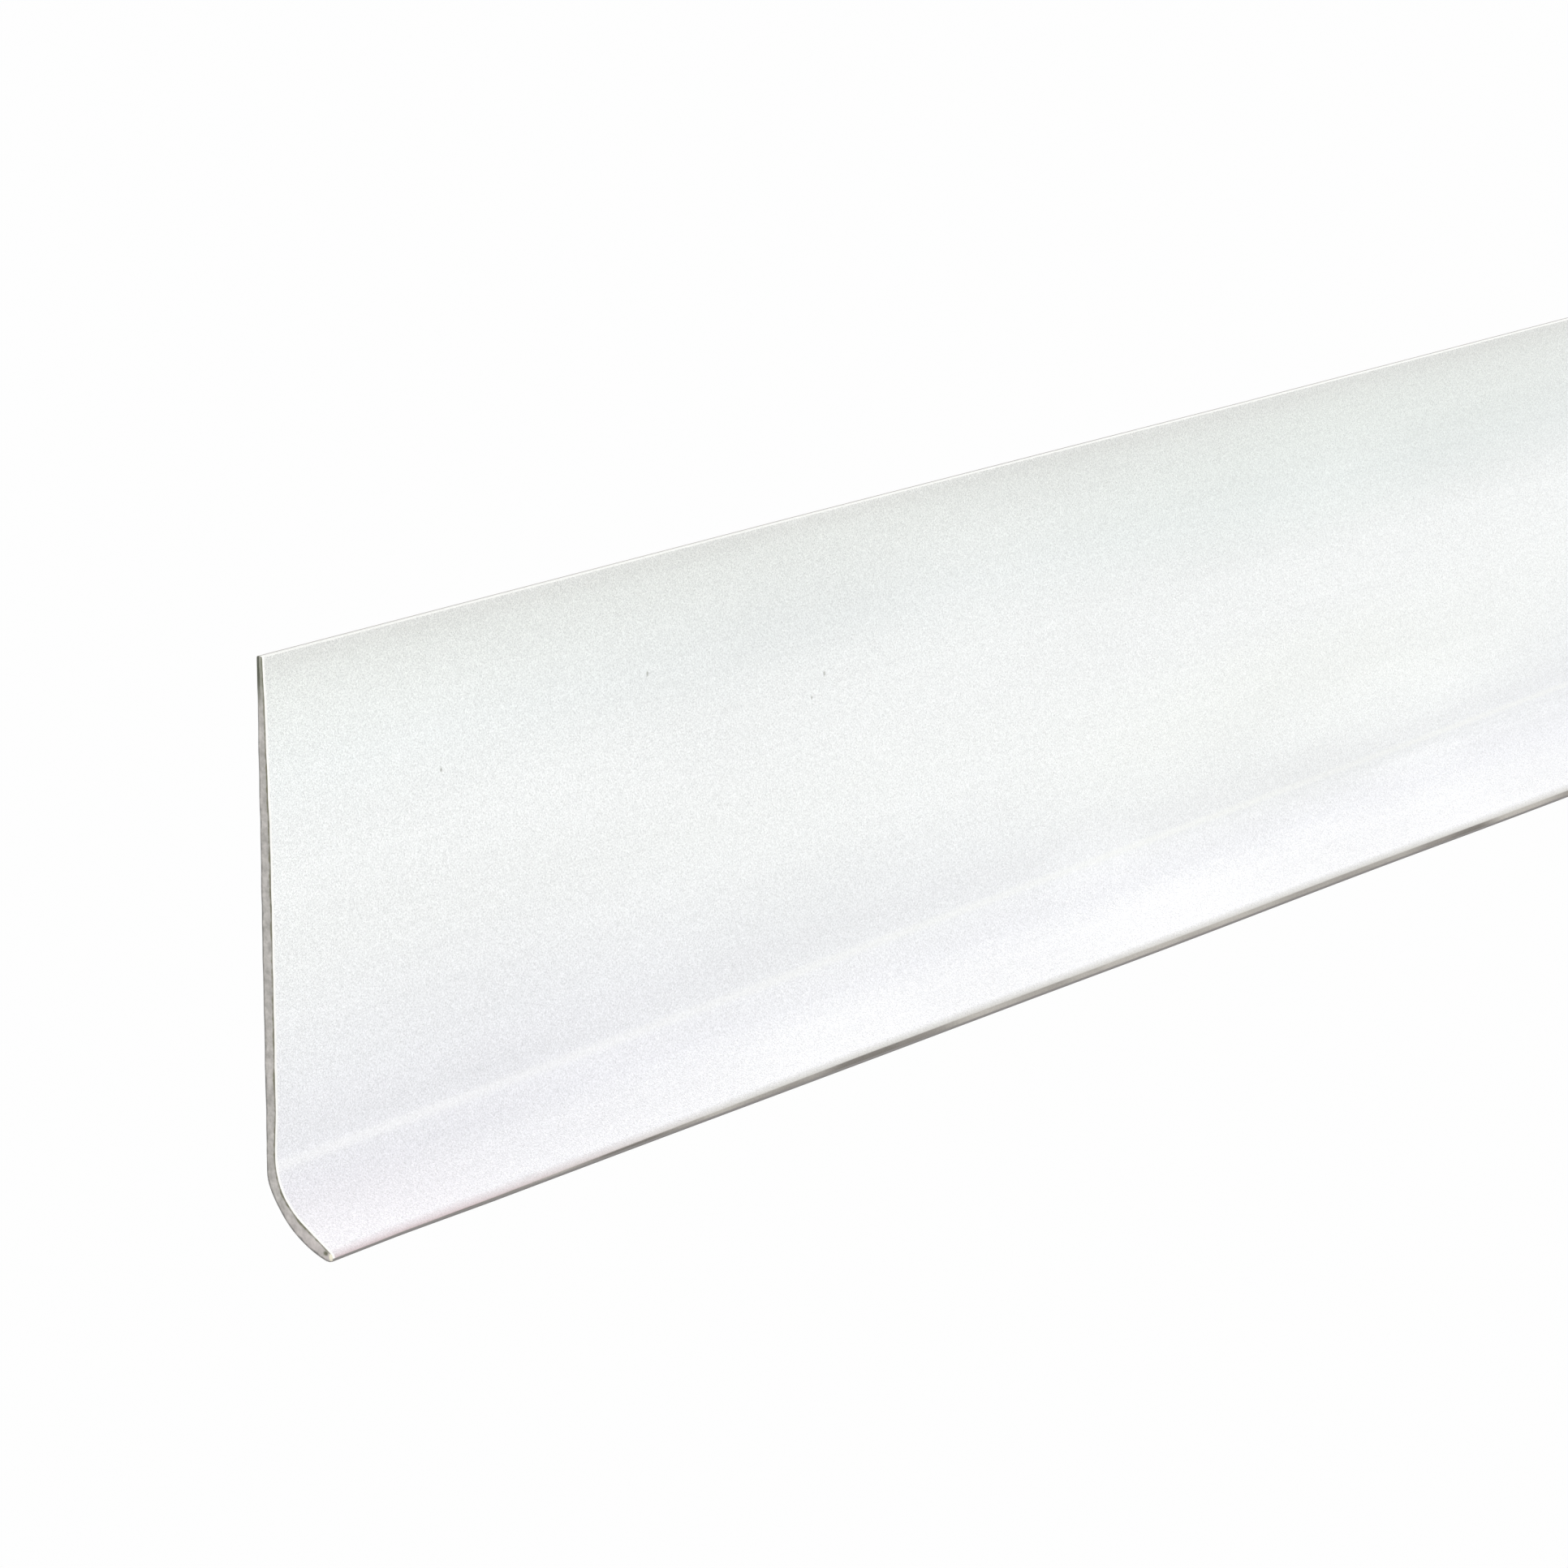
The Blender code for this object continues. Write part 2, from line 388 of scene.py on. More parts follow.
def make_mark():
    """One small soft-edged mark at a place, longer or shorter each way as its reach says."""
    inputs = [
        ("Place", "NodeSocketVector", None),
        ("Centre", "NodeSocketVector", None),
        ("Reach", "NodeSocketVector", (MM, MM, MM)),
    ]
    group, given, result = new_group("small_mark", inputs, "Mask")
    away = add_node(group, "ShaderNodeVectorMath", operation="SUBTRACT")
    feed(group, away, 0, given.outputs["Place"])
    feed(group, away, 1, given.outputs["Centre"])
    share = add_node(group, "ShaderNodeVectorMath", operation="DIVIDE")
    feed(group, share, 0, away.outputs[0])
    feed(group, share, 1, given.outputs["Reach"])
    length = add_node(group, "ShaderNodeVectorMath", operation="LENGTH")
    feed(group, length, 0, share.outputs[0])
    feed(group, result, 0, remap(group, length.outputs["Value"], 1.0, 0.3, smooth=True))
    return group


def make_dust():
    """Scattered specks of dust and small inclusions, each a soft dot in its own cell."""
    inputs = [
        ("Place", "NodeSocketVector", None),
        ("Spacing", "NodeSocketFloat", 6 * MM),
        ("Size", "NodeSocketFloat", 0.04),
    ]
    group, given, result = new_group("sparse_specks", inputs, "Mask")
    cells = add_node(group, "ShaderNodeTexVoronoi")
    feed(group, cells, "Vector", given.outputs["Place"])
    feed(group, cells, "Scale", maths(group, "DIVIDE", 1.0, given.outputs["Spacing"]))
    draw = add_node(group, "ShaderNodeSeparateColor")
    feed(group, draw, 0, cells.outputs["Color"])
    rarity = maths(group, "POWER", draw.outputs[0], 4.0)
    reach = maths(group, "MULTIPLY", rarity, given.outputs["Size"])
    inner = maths(group, "MULTIPLY", reach, 0.4)
    feed(group, result, 0, remap(group, cells.outputs["Distance"], reach, inner, smooth=True))
    return group


ORANGE_PEEL = make_orange_peel()
STREAKS = make_streaks()
CLOUDS = make_clouds()
MARK = make_mark()
DUST = make_dust()


# ---------------------------------------------------------------- materials


def new_material(name):
    material = bpy.data.materials.new(name)
    material.use_nodes = True
    tree = material.node_tree
    return material, tree, tree.nodes["Principled BSDF"]


def rest_place(tree):
    """The point's place on the unbent piece, so that a pattern stays put as the piece bends."""
    return add_node(tree, "ShaderNodeAttribute", attribute_name="rest_place").outputs["Vector"]


def axis_value(tree, place, axis):
    node = add_node(tree, "ShaderNodeSeparateXYZ")
    feed(tree, node, 0, place)
    return node.outputs[axis]


def bump(tree, height, distance, under=None):
    node = add_node(tree, "ShaderNodeBump")
    feed(tree, node, "Height", height)
    node.inputs["Distance"].default_value = distance
    if under is not None:
        feed(tree, node, "Normal", under)
    return node.outputs["Normal"]


def colour_ramp(tree, value, stops):
    ramp = add_node(tree, "ShaderNodeValToRGB")
    feed(tree, ramp, 0, value)
    elements = ramp.color_ramp.elements
    while len(elements) < len(stops):
        elements.new(0.5)
    for element, (position, colour) in zip(elements, stops):
        element.position = position
        element.color = (*colour, 1.0)
    return ramp.outputs["Color"]


def tinted(tree, colour, factors):
    """A colour made lighter or darker by the product of some values near one."""
    lightness = 1.0
    for factor in factors:
        lightness = maths(tree, "MULTIPLY", factor, lightness)
    grey = add_node(tree, "ShaderNodeCombineColor")
    for channel in range(3):
        feed(tree, grey, channel, lightness)
    return mix_colour(tree, 1.0, colour, grey.outputs[0], blend="MULTIPLY")


def dusted(tree, place, colour, speck_colour, spacing, size, strength):
    """A colour with scattered specks of another over it."""
    mask = use_group(tree, DUST, Place=place, Spacing=spacing, Size=size)
    return mix_colour(tree, maths(tree, "MULTIPLY", mask, strength), colour, speck_colour)


# Painted light and shade of the front: its tone by its share of the height, from the top edge to the tip
FRONT_PAINTED_SHADING = [
    (0.000, (0.713, 0.722, 0.698)),
    (0.016, (0.709, 0.722, 0.695)),
    (0.047, (0.752, 0.773, 0.746)),
    (0.120, (0.779, 0.803, 0.783)),
    (0.203, (0.802, 0.827, 0.816)),
    (0.308, (0.844, 0.861, 0.851)),
    (0.413, (0.865, 0.880, 0.871)),
    (0.519, (0.870, 0.886, 0.874)),
    (0.625, (0.861, 0.876, 0.870)),
    (0.731, (0.832, 0.845, 0.849)),
    (0.774, (0.818, 0.827, 0.836)),
    (0.827, (0.825, 0.834, 0.844)),
    (0.849, (0.834, 0.841, 0.854)),
    (0.868, (0.802, 0.807, 0.824)),
    (0.897, (0.802, 0.806, 0.828)),
    (0.938, (0.850, 0.852, 0.867)),
    (1.000, (0.879, 0.876, 0.890)),
]

# Small blemishes on the front, in mm: distance from the left end, height above the toe, then how
# far each reaches along the strip and up it
SPECKS = [
    (44.7, 74.2, 0.40, 0.60),
    (102.5, 80.7, 0.40, 0.65),
    (155.5, 71.4, 0.40, 0.60),
    (151.5, 67.6, 0.35, 0.50),
    (640.0, 55.0, 0.40, 0.60),
    (790.0, 33.0, 0.40, 0.60),
]
SCUFFS = [
    (110.9, 98.4, 3.0, 0.35),
    (219.3, 99.8, 3.0, 0.35),
    (350.0, 99.0, 3.4, 0.35),
    (6.5, 2.0, 1.8, 0.3),
    (54.0, 2.0, 2.6, 0.3),
    (205.5, 1.6, 4.0, 0.3),
    (302.0, 1.4, 4.0, 0.3),
    (715.0, 96.0, 5.0, 0.35),
]
# Broad patches of painted light and shade, lighter or darker than the rest: the same four numbers, then the
# change in tone
PAINTED_LIGHT_PATCHES = [
    (10.0, 86.0, 75.0, 19.0, 0.055),
    (20.0, 62.0, 60.0, 9.0, 0.02),
    (30.0, 50.0, 95.0, 20.0, -0.04),
    (22.0, 10.0, 75.0, 6.0, -0.05),
    (50.0, 7.0, 80.0, 7.0, -0.035),
    (330.0, 11.0, 28.0, 5.0, 0.04),
    (412.0, 6.0, 42.0, 6.0, -0.04),
    (45.0, 18.0, 60.0, 5.0, -0.03),
    (150.0, 4.0, 40.0, 5.0, 0.03),
    (255.0, 42.0, 120.0, 22.0, 0.02),
    (355.0, 30.0, 65.0, 13.0, 0.055),
    (368.0, 14.0, 30.0, 5.0, 0.05),
    (246.0, 18.0, 26.0, 10.0, 0.04),
    (262.0, 5.0, 45.0, 5.0, 0.03),
    (300.0, 61.0, 60.0, 9.0, 0.02),
    (50.0, 34.0, 80.0, 8.0, -0.02),
    (225.0, 99.0, 60.0, 9.0, -0.02),
    (405.0, 80.0, 75.0, 14.0, -0.04),
    (150.0, 84.0, 45.0, 12.0, -0.025),
    (560.0, 60.0, 90.0, 25.0, -0.03),
    (680.0, 20.0, 110.0, 14.0, 0.03),
    (830.0, 75.0, 90.0, 20.0, 0.03),
]

# Broad patches of another hue: the same four numbers, then factors for red, green and blue
TINT_PATCHES = [
    (30.0, 22.0, 135.0, 38.0, (1.004, 0.999, 1.014)),
    (2.0, 3.0, 60.0, 12.0, (1.014, 0.998, 1.006)),
    (335.0, 84.0, 140.0, 20.0, (0.987, 1.000, 0.990)),
    (320.0, 32.0, 140.0, 26.0, (0.999, 1.002, 0.985)),
    (720.0, 40.0, 160.0, 40.0, (1.004, 1.000, 1.012)),
]

# Marks on the cut end near the tip, in mm: a dark spot, then a painted highlight on the nose. For each, how
# far out from the back and up from the toe, then how far each reaches out and up, and its colour
TIP_SPOT_AND_HIGHLIGHT = [
    (12.6, 1.5, 0.7, 0.6, (0.15, 0.15, 0.10, 1.0)),
    (13.7, 1.0, 0.6, 0.9, (0.92, 0.88, 0.70, 1.0)),
]


def front_mark(tree, flat_place, along, up, reach_along, reach_up):
    """A soft mark on the front, at millimetres from the left end and above the toe."""
    centre = (LEFT_END + along * MM, 0, TOE_Z + up * MM)
    reach = (reach_along * MM, 1.0, reach_up * MM)
    return use_group(tree, MARK, Place=flat_place, Centre=centre, Reach=reach)


def marks(tree, flat_place, rows):
    """The joined mask of a list of small marks on the front."""
    total = 0.0
    for row in rows:
        total = maths(tree, "MAXIMUM", front_mark(tree, flat_place, *row), total)
    return total


def painted_patch_light(tree, flat_place):
    """A factor near one that the broad patches of painted light and shade change."""
    total = 1.0
    for *row, change in PAINTED_LIGHT_PATCHES:
        share = maths(tree, "MULTIPLY", front_mark(tree, flat_place, *row), change)
        total = maths(tree, "ADD", share, total)
    return total


def crease_highlight_mask(tree, along, height):
    """The painted highlight along the front's crease, which climbs and narrows on its way from the left end.
    """
    end = LEFT_END + CREASE_DRIFT_LENGTH
    low, high = TOE_Z + CREASE_LEFT_HEIGHT, TOE_Z + CREASE_RIGHT_HEIGHT
    line_height = remap(tree, along, LEFT_END, end, low, high)
    line_reach = remap(tree, along, LEFT_END, end, CREASE_LEFT_REACH, CREASE_RIGHT_REACH)
    from_line = maths(tree, "ABSOLUTE", maths(tree, "SUBTRACT", height, line_height))
    return remap(tree, from_line, line_reach, CREASE_FULL_REACH, smooth=True)


def blemished(tree, place, flat_place, colour):
    """A colour with the front's broad tints, and its specks, dust and scuffs over them."""
    for *row, tint in TINT_PATCHES:
        mask = front_mark(tree, flat_place, *row)
        colour = mix_colour(tree, mask, colour, (*tint, 1.0), blend="MULTIPLY")
    speck_share = maths(tree, "MULTIPLY", marks(tree, flat_place, SPECKS), SPECK_SHARE)
    colour = mix_colour(tree, speck_share, colour, SPECK_GREY)
    colour = dusted(tree, place, colour, FRONT_DUST, spacing=9 * MM, size=0.03, strength=0.3)
    scuff_share = maths(tree, "MULTIPLY", marks(tree, flat_place, SCUFFS), SCUFF_SHARE)
    return mix_colour(tree, scuff_share, colour, SCUFF_GREY)


def shaded_tip_and_core(tree, place, along, height, peel, colour):
    """A colour with painted shade above the tip and a band of grey core below, darkened further by painted
    shade, and that band's mask.
    """
    low, high = TOE_Z + TRIM_LEFT_HEIGHT, TOE_Z + TRIM_HEIGHT
    trim_line = remap(tree, along, LEFT_END, LEFT_END + TRIM_GROW_LENGTH, low, high)
    above = maths(tree, "SUBTRACT", height, trim_line)
    # Painted shade of the rounded tip: greyer over the last millimetre above the band, pinker near the left
    # end.
    far = remap(tree, along, LEFT_END + TIP_SHADE_CHANGE_START, LEFT_END + TIP_SHADE_CHANGE_END)
    reach = remap(tree, far, 0.0, 1.0, TIP_SHADE_LEFT_REACH, TIP_SHADE_REACH)
    share = remap(tree, far, 0.0, 1.0, TIP_SHADE_LEFT_SHARE, TIP_SHADE_SHARE)
    grime_and_shade = remap(tree, above, reach, 0.0, 0.0, share)
    colour = mix_colour(tree, grime_and_shade, colour, mix_colour(tree, far, TIP_SHADE_LEFT_TONE, TIP_SHADE_TONE))

    # The grey core band along the tip, darker than the core at the cut ends: painted shade over the core's
    # grey.
    clouds = use_group(tree, CLOUDS, Place=place, Size=TRIM_CLOUD_SIZE)
    core = mix_colour(tree, remap(tree, clouds, 0.35, 0.62), CORE_BAND_SHADE_DARK, CORE_BAND_SHADE_LIGHT)
    core = tinted(tree, core, [swing(tree, peel, 0.85, 1.15)])
    bare = remap(tree, above, 0.10 * MM, -0.05 * MM, smooth=True)
    return mix_colour(tree, bare, colour, core), bare


def rim_highlights(tree, along, height):
    """Mask of the painted highlights on the rims: the cut ends and, more faintly, the top edge."""
    from_middle = maths(tree, "ABSOLUTE", along)
    half = STRIP_LENGTH / 2
    cut_rim_highlight = remap(tree, from_middle, half - 0.75 * MM, half - 0.35 * MM, smooth=True)
    top_rim_highlight = remap(tree, height, TOP_Z - 0.28 * MM, TOP_Z - 0.16 * MM, smooth=True)
    return maths(tree, "MAXIMUM", cut_rim_highlight, maths(tree, "MULTIPLY", top_rim_highlight, TOP_HIGHLIGHT_SHARE))


def make_white_vinyl():
    """Satin white skin of the front, with light and shade painted into its tone, painted highlights on its
    crease and rims, and painted shade near the tip over a band of grey core.
    """
    material, tree, shader = new_material("white_vinyl_skin")
    place = rest_place(tree)
    along = axis_value(tree, place, 0)
    height = axis_value(tree, place, 2)
    flat_place = scaled_place(tree, place, (1.0, 0.0, 1.0))
    clouds = use_group(tree, CLOUDS, Place=place, Size=FRONT_CLOUD_SIZE)
    streaks = use_group(tree, STREAKS, Place=place, Width=FRONT_STREAK_WIDTH)
    peel = use_group(tree, ORANGE_PEEL, Place=place, Cell=FRONT_PEEL_CELL)
    # Painted light and shade: the tone ramp by height and the broad lighter and darker patches.
    colour = tinted(
        tree,
        colour_ramp(tree, remap(tree, height, TOP_Z, TOE_Z), FRONT_PAINTED_SHADING),
        [
            swing(tree, clouds, 0.975, 1.02),
            swing(tree, streaks, 0.99, 1.01),
            swing(tree, peel, 0.75, 1.25),
            painted_patch_light(tree, flat_place),
        ],
    )
    # Painted highlight along the crease, where the flat web turns into the curved lip; the same mask also
    # gives a faint ridge in the bump.
    crease = crease_highlight_mask(tree, along, height)
    crease_highlight_share = maths(tree, "MULTIPLY", crease, remap(tree, clouds, 0.35, 0.65, 0.28, 0.42))
    colour = mix_colour(tree, crease_highlight_share, colour, CREASE_HIGHLIGHT)
    colour = blemished(tree, place, flat_place, colour)
    # Painted shade near the tip, over the grey core band there.
    colour, bare = shaded_tip_and_core(tree, place, along, height, peel, colour)
    # Painted highlights on the rims of the cut ends and of the top edge.
    colour = mix_colour(tree, rim_highlights(tree, along, height), colour, RIM_HIGHLIGHT)
    feed(tree, shader, "Base Color", colour)

    gloss = swing(tree, peel, 0.40, 0.50)
    matt = maths(tree, "MULTIPLY", bare, TRIM_ROUGHNESS)
    feed(tree, shader, "Roughness", maths(tree, "MAXIMUM", gloss, matt))
    relief = bump(tree, crease, 0.02 * MM, bump(tree, streaks, 0.01 * MM))
    feed(tree, shader, "Normal", bump(tree, peel, 0.08 * MM, relief))
    shader.inputs["IOR"].default_value = 1.5
    return material


def core_tone(tree, place):
    """Mottled grey of the filled vinyl under the skin, a little warmer in the soft lip."""
    mottle = noise_value(tree, place, 1 / MOTTLE_SIZE, detail=3.0, roughness=0.65)
    mottle = remap(tree, mottle, 0.33, 0.67)
    stiff = mix_colour(tree, mottle, STIFF_DARK, STIFF_LIGHT)
    soft = mix_colour(tree, mottle, SOFT_DARK, SOFT_LIGHT)
    height = axis_value(tree, place, 2)
    share = remap(tree, height, TOE_Z + SOFT_FROM_HEIGHT, TOE_Z + SOFT_FULL_HEIGHT)
    return mix_colour(tree, share, stiff, soft)


def make_cut_core():
    """The ends that a knife laid bare: grey core, and a dark joint under the white skin."""
    material, tree, shader = new_material("cut_vinyl_core")
    place = rest_place(tree)
    height = axis_value(tree, place, 2)
    through = add_node(tree, "ShaderNodeAttribute", attribute_name="through").outputs["Fac"]
    ragged = noise_value(tree, place, 1 / RAGGED_SIZE, detail=2.0, roughness=0.6)
    layer = maths(tree, "ADD", through, swing(tree, ragged, -0.06, 0.06))
    colour = core_tone(tree, place)

    joint = remap(tree, layer, 0.80, 0.92, smooth=True)
    joint_share = maths(tree, "MULTIPLY", joint, remap(tree, ragged, 0.35, 0.6, 0.55, 1.0))
    colour = mix_colour(tree, joint_share, colour, JOINT_DARK)
    back = remap(tree, layer, 0.24, 0.06, 0.0, 0.8, smooth=True)
    colour = mix_colour(tree, back, colour, CUT_BACK_DARK)

    # Darker olive towards the top of the cut end, darkest in its back half.
    darkening_foot, darkening_head = TOP_Z - TOP_DARKENING_FROM_DEPTH, TOP_Z - TOP_DARKENING_FULL_DEPTH
    corner = remap(tree, height, darkening_foot, darkening_head, smooth=True)
    colour = mix_colour(tree, maths(tree, "MULTIPLY", corner, TOP_DARKENING_SHARE), colour, TOP_DARKENING_TONE)
    top_back_darkening = maths(tree, "MULTIPLY", corner, remap(tree, layer, 0.55, 0.40, smooth=True))
    colour = mix_colour(tree, top_back_darkening, colour, TOP_BACK_DARKEST)
    # A dark spot near the tip, and a cream painted highlight on the nose.
    for out, up, reach_out, reach_up, tone in TIP_SPOT_AND_HIGHLIGHT:
        spot = use_group(
            tree,
            MARK,
            Place=place,
            Centre=(LEFT_END, BACK_Y - out * MM, TOE_Z + up * MM),
            Reach=(2 * MM, reach_out * MM, reach_up * MM),
        )
        colour = mix_colour(tree, spot, colour, tone)
    feed(tree, shader, "Base Color", colour)
    feed(tree, shader, "Roughness", swing(tree, ragged, 0.62, 0.82))
    drag = scaled_place(tree, place, (1.0, 1.0, 0.25))
    lines = noise_value(tree, drag, 1 / KNIFE_LINE_SIZE, detail=2.0)
    feed(tree, shader, "Normal", bump(tree, lines, 0.03 * MM))
    return material


def make_back_core():
    """The plain back of the strip: the same grey vinyl, drawn smooth with fine die lines."""
    material, tree, shader = new_material("drawn_vinyl_back")
    place = rest_place(tree)
    clouds = use_group(tree, CLOUDS, Place=place, Size=BACK_CLOUD_SIZE)
    streaks = use_group(tree, STREAKS, Place=place, Width=BACK_STREAK_WIDTH)
    peel = use_group(tree, ORANGE_PEEL, Place=place, Cell=BACK_PEEL_CELL)
    colour = mix_colour(tree, clouds, BACK_DARK, BACK_LIGHT)
    factors = [swing(tree, streaks, 0.94, 1.05), swing(tree, peel, 0.97, 1.03)]
    colour = tinted(tree, colour, factors)
    colour = dusted(tree, place, colour, BACK_DUST, spacing=7 * MM, size=0.05, strength=0.5)
    height = axis_value(tree, place, 2)
    grime_and_shade = remap(tree, height, TOE_Z + 2.5 * MM, TOE_Z + 0.6 * MM, 0.0, 0.8, smooth=True)
    colour = mix_colour(tree, grime_and_shade, colour, BACK_GRIME)
    feed(tree, shader, "Base Color", colour)
    feed(tree, shader, "Roughness", swing(tree, streaks, 0.48, 0.62))
    relief = bump(tree, streaks, 0.05 * MM)
    feed(tree, shader, "Normal", bump(tree, peel, 0.02 * MM, relief))
    return material


def make_foam():
    """Closed-cell foam of the tape, seen at its slit edges: pale, with small open pores."""
    material, tree, shader = new_material("white_tape_foam")
    place = rest_place(tree)
    cells = add_node(tree, "ShaderNodeTexVoronoi")
    feed(tree, cells, "Vector", place)
    cells.inputs["Scale"].default_value = 1 / FOAM_CELL
    cells.inputs["Randomness"].default_value = 0.9
    pores = remap(tree, cells.outputs["Distance"], 0.15, 0.6, smooth=True)
    patches = noise_value(tree, place, 1 / FOAM_PATCH_SIZE, detail=2.0)
    colour = mix_colour(tree, pores, FOAM_PORE, FOAM_WHITE)
    colour = tinted(tree, colour, [swing(tree, patches, 0.93, 1.04)])
    feed(tree, shader, "Base Color", colour)
    feed(tree, shader, "Roughness", swing(tree, patches, 0.85, 0.95))
    feed(tree, shader, "Normal", bump(tree, pores, 0.08 * MM))
    return material


def make_adhesive():
    """The tacky film on both faces of the tape: pale amber, wet-looking, dimpled by its liner."""
    material, tree, shader = new_material("tacky_adhesive")
    place = rest_place(tree)
    dimples = noise_value(tree, place, 1 / DIMPLE_SIZE, detail=2.0, roughness=0.55)
    drawn = scaled_place(tree, place, (0.4, 1.0, 1.0))
    patches = noise_value(tree, drawn, 1 / ADHESIVE_PATCH_SIZE, detail=2.0)
    colour = mix_colour(tree, patches, ADHESIVE_DARK, ADHESIVE_LIGHT)
    colour = dusted(tree, place, colour, ADHESIVE_DUST, spacing=4 * MM, size=0.08, strength=0.45)
    feed(tree, shader, "Base Color", colour)
    feed(tree, shader, "Roughness", swing(tree, dimples, 0.16, 0.34))
    feed(tree, shader, "Normal", bump(tree, dimples, 0.06 * MM))
    return material


def make_paper(name, dark, light, roughness):
    """Glassine paper of a release liner, with fibres, faint calender bars and small creases."""
    material, tree, shader = new_material(name)
    place = rest_place(tree)
    drawn = scaled_place(tree, place, (0.35, 1.0, 1.0))
    fibres = noise_value(tree, drawn, 1 / FIBRE_SIZE, detail=4.0, roughness=0.7)
    patches = noise_value(tree, place, 1 / PAPER_PATCH_SIZE, detail=3.0)
    upright = scaled_place(tree, place, (1.0, 0.0, 0.02))
    bars = noise_value(tree, upright, 1 / CALENDER_BAR_SIZE, detail=2.0)
    colour = mix_colour(tree, patches, dark, light)
    factors = [swing(tree, fibres, 0.94, 1.05), swing(tree, bars, 0.975, 1.02)]
    colour = tinted(tree, colour, factors)
    colour = dusted(tree, place, colour, PAPER_DUST, spacing=5 * MM, size=0.05, strength=0.4)
    feed(tree, shader, "Base Color", colour)
    feed(tree, shader, "Roughness", swing(tree, fibres, *roughness))
    relief = bump(tree, bars, 0.10 * MM)
    feed(tree, shader, "Normal", bump(tree, fibres, 0.02 * MM, relief))
    return material


# ---------------------------------------------------------------- the vinyl strip


def arc(centre, radius, start, end, steps):
    """Points on a circle from one angle to another, counted in degrees from +Y towards +Z."""
    angles = [math.radians(start + (end - start) * i / steps) for i in range(steps + 1)]
    return [centre + radius * Vector((math.cos(a), math.sin(a))) for a in angles]


def point_along(line, share):
    """The point at a share of a line's length."""
    lengths = [(b - a).length for a, b in zip(line, line[1:])]
    left = share * sum(lengths)
    for start, end, length in zip(line, line[1:], lengths):
        if left <= length:
            return start.lerp(end, left / length)
        left -= length
    return line[-1].copy()


def web_thickness(depth):
    """Thickness of the web at a depth below its top edge."""
    fullness = math.sin(math.pi / 2 * min(depth / FEATHER_HEIGHT, 1))
    thickness = TOP_EDGE_THICKNESS + (WEB_THICKNESS - TOP_EDGE_THICKNESS) * fullness
    above_flex = TOP_Z - depth - FLEX_Z
    narrowing = max(0.0, 1 - above_flex / NECK_TAPER_HEIGHT) ** 2
    return thickness - (WEB_THICKNESS - NECK_THICKNESS) * narrowing


def web_depths():
    """Depths of the stations down the web, from its top edge to the flex line."""
    step = (TOP_Z - FLEX_Z - TOP_ROW_DEPTH) / WEB_STATIONS
    return [0.0] + [TOP_ROW_DEPTH + step * i for i in range(WEB_STATIONS + 1)]


def lip_lines():
    """The back and the front of the lip, from the flex line down to the tip."""
    bend_sine = math.sin(math.radians(LIP_BEND_ANGLE))
    drop = LIP_BEND_RADIUS * bend_sine
    drop += LIP_BACK_RADIUS * (math.sin(math.radians(LIP_BACK_ANGLE)) - bend_sine)
    bend_centre = Vector((BACK_Y - LIP_BEND_RADIUS, TOE_Z + drop))
    bend = arc(bend_centre, LIP_BEND_RADIUS, 0, -LIP_BEND_ANGLE, BEND_STEPS)
    inwards = (bend_centre - bend[-1]).normalized()
    sweep_centre = bend[-1] + LIP_BACK_RADIUS * inwards
    sweep = arc(sweep_centre, LIP_BACK_RADIUS, -LIP_BEND_ANGLE, -LIP_BACK_ANGLE, SWEEP_STEPS)
    tip_foot = sweep[-1] + Vector((-TIP_FOOT_REACH, TIP_FOOT_RISE))
    back = [Vector((BACK_Y, FLEX_Z))] + bend[:-1] + sweep + [tip_foot]

    angle = math.radians(TOE_FACE_ANGLE)
    tip_front = tip_foot + Vector((0, TIP_HEIGHT))
    front_y = BACK_Y - NECK_THICKNESS
    reach = front_y - tip_front.x - LIP_FRONT_RADIUS * (1 - math.cos(angle))
    toe_start = tip_front + reach * Vector((1, 1 / math.tan(angle)))
    centre = toe_start + LIP_FRONT_RADIUS * Vector((-math.cos(angle), math.sin(angle)))
    curve = arc(centre, LIP_FRONT_RADIUS, 0, -TOE_FACE_ANGLE, SWEEP_STEPS)
    front = [Vector((front_y, FLEX_Z))] + curve + [tip_front]
    return back, front


def section_stations():
    """Pairs of points (y, z) on the back and on the front, from the top edge down to the tip."""
    stations = []
    for depth in web_depths():
        z = TOP_Z - depth
        stations.append((Vector((BACK_Y, z)), Vector((BACK_Y - web_thickness(depth), z))))
    back, front = lip_lines()
    for i in range(1, LIP_STATIONS + 1):
        share = i / LIP_STATIONS
        stations.append((point_along(back, share), point_along(front, share)))
    return stations


def ripple(x, z, size, seed):
    """Smooth noise from -1 to 1, in patches of about that size, longer along the strip."""
    return noise.noise(Vector((x / (size * 2.2), seed, z / size)))


